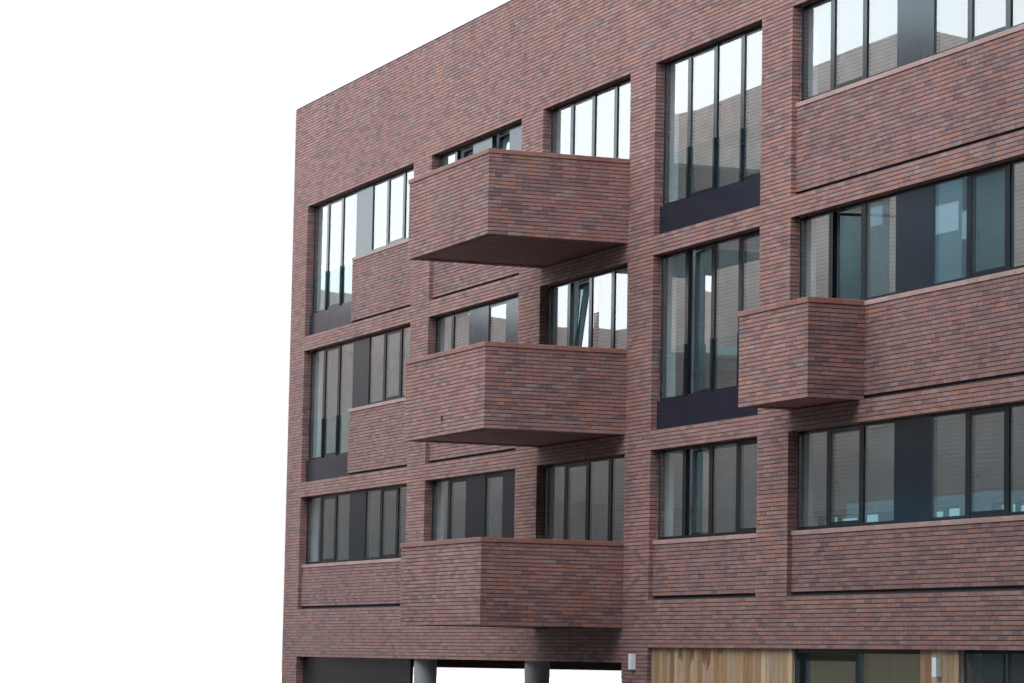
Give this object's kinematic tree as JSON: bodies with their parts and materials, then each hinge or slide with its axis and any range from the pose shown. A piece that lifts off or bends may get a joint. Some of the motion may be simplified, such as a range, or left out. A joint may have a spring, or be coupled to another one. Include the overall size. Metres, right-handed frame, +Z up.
{
  "type": "brick apartment block",
  "caption": "Long brick apartment block on a part-open undercroft, with recessed window bays between piers, brick box balconies, French windows and a sliding patio door.",
  "frame": {"origin": "middle of the base: half way along the block, and half way between the front of the deep balconies and the rear face, at ground level", "axes": "+X runs along the front to the right as seen from in front, +Y runs from the front into the building, +Z is up"},
  "size_m": [31.49, 14.38, 13.84],
  "materials": {
    "brick": "rough fired brick with raked dark joints",
    "fired_clay": "matt fired clay",
    "concrete": "smooth cast concrete",
    "dark_metal": "satin dark grey powder coat",
    "panel": "satin grey powder coat",
    "glass": "clear double glazing",
    "timber": "oiled cedar boards",
    "coping_metal": "natural satin",
    "roofing": "matt roof membrane",
    "light_cover": "pale satin cover",
    "steel": "brushed",
    "render_coat": "smooth painted render"
  },
  "bodies": {
    "building": {"balcony_1_slab": "concrete", "balcony_1_walls": "brick", "balcony_2_slab": "concrete", "balcony_2_walls": "brick", "balcony_3_slab": "concrete", "balcony_3_walls": "brick", "balcony_front_copings": "fired_clay", "balcony_side_copings": "fired_clay", "end_window_frame": "dark_metal", "floor_level_1": "concrete", "floor_level_2": "concrete", "floor_level_3": "concrete", "french_guard_glass": "glass", "french_guard_posts": "dark_metal", "french_window_trays": "dark_metal", "front_bands": "brick", "front_glass": "glass", "front_opening_sashes": "dark_metal", "front_piers": "brick", "front_spandrels": "brick", "front_thresholds": "concrete", "front_window_frames_level_1": "dark_metal", "front_window_frames_level_2": "dark_metal", "front_window_frames_level_3": "dark_metal", "groove_flashings": "coping_metal", "ground_floor": "concrete", "ground_front_glass": "glass", "ground_front_wall": "concrete", "infill_panels": "panel", "left_end_wall": "brick", "passage_wall": "render_coat", "patio_door_frame": "dark_metal", "rear_bands": "brick", "rear_glass": "glass", "rear_opening_sashes": "dark_metal", "rear_piers": "brick", "rear_spandrels": "brick", "rear_window_frames": "dark_metal", "right_end_wall": "brick", "roof_coping": "coping_metal", "roof_covering": "roofing", "roof_slab": "concrete", "small_balcony_slab": "concrete", "small_balcony_walls": "brick", "timber_cladding": "timber", "undercroft_ceiling": "render_coat", "undercroft_columns": "concrete", "undercroft_screen": "dark_metal", "wall_lights": "light_cover", "window_sills": "fired_clay"},
    "patio_door": {"patio_door_leaf": "dark_metal", "patio_door_glass": "glass", "patio_door_handle": "steel"}
  },
  "joints": [
    {"name": "patio_door_slide", "type": "slide", "parent": "building", "child": "patio_door", "axis": [1, 0, 0], "range_m": [0, 1.7]}
  ]
}
